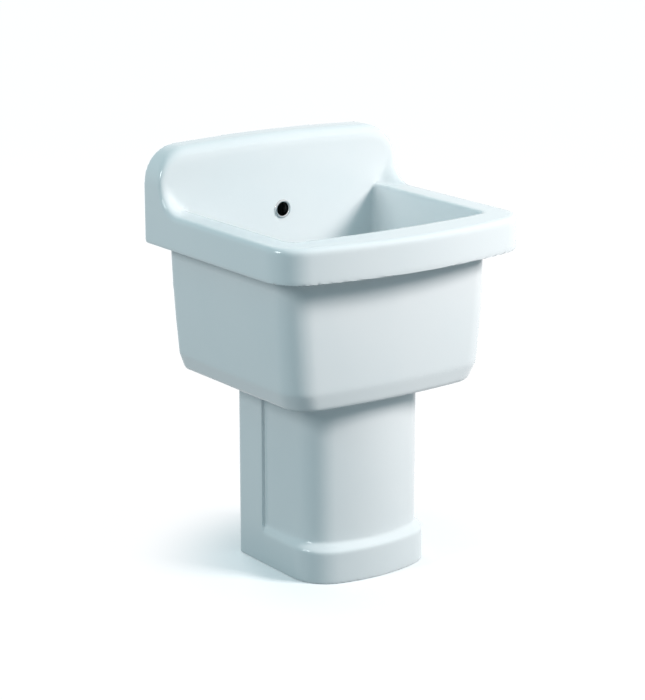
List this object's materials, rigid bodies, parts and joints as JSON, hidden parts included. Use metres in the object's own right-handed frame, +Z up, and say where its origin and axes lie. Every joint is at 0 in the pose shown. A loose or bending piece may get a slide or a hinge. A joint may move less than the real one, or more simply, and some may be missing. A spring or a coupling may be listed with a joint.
{
  "type": "utility laundry sink",
  "caption": "White glazed ceramic laundry sink with apron rim, arched backsplash and overflow, on an open-backed pedestal that hides the waste and a bottle trap.",
  "frame": {"origin": "on the floor, under the centre of the plan box", "axes": "+Z up, +Y towards the wall behind the sink, +X to the right as seen by a user who faces the wall"},
  "size_m": [0.6, 0.54, 0.8746],
  "materials": {
    "ceramic": "glossy white glaze with a cool tint",
    "chrome": "polished chrome plate on brass",
    "rubber": "matt black rubber",
    "soft_seal": "pale silicone rubber",
    "plastic": "white moulded plastic",
    "steel": "zinc-plated steel",
    "brass": "plain machined brass"
  },
  "bodies": {
    "sink": {"basin": "ceramic", "pedestal": "ceramic", "pedestal_cushion": "soft_seal", "overflow_ring": "chrome", "waste_body": "chrome", "waste_upper_seal": "rubber", "waste_lower_seal": "rubber", "waste_slip_washer": "plastic", "waste_locknut": "brass", "trap_inlet_seal": "rubber", "trap_inlet_tube": "chrome", "trap_inlet_nut": "chrome", "trap_body": "chrome", "trap_body_seal": "rubber", "trap_body_nut": "chrome", "trap_outlet_seal": "rubber", "trap_outlet_nut": "chrome", "trap_outlet_tube": "chrome", "wall_rosette": "chrome", "wall_stud_left": "steel", "wall_stud_right": "steel", "wall_bush_left": "plastic", "wall_bush_right": "plastic", "wall_washer_left": "steel", "wall_washer_right": "steel", "wall_nut_left": "steel", "wall_nut_right": "steel", "floor_screw_left": "steel", "floor_screw_right": "steel", "floor_washer_left": "plastic", "floor_washer_right": "plastic"},
    "plug": {"sink_plug": "rubber"},
    "cup": {"trap_cup": "chrome", "trap_cup_seal": "rubber"}
  },
  "joints": [
    {"name": "plug_lift", "type": "slide", "parent": "sink", "child": "plug", "axis": [0, 0, 1], "range_m": [0, 0.06]},
    {"name": "cup_turn", "type": "hinge", "parent": "sink", "child": "cup", "pos_m": [0, 0.015, 0.15], "axis": [0, 0, 1], "range_deg": [-540, 0]}
  ]
}
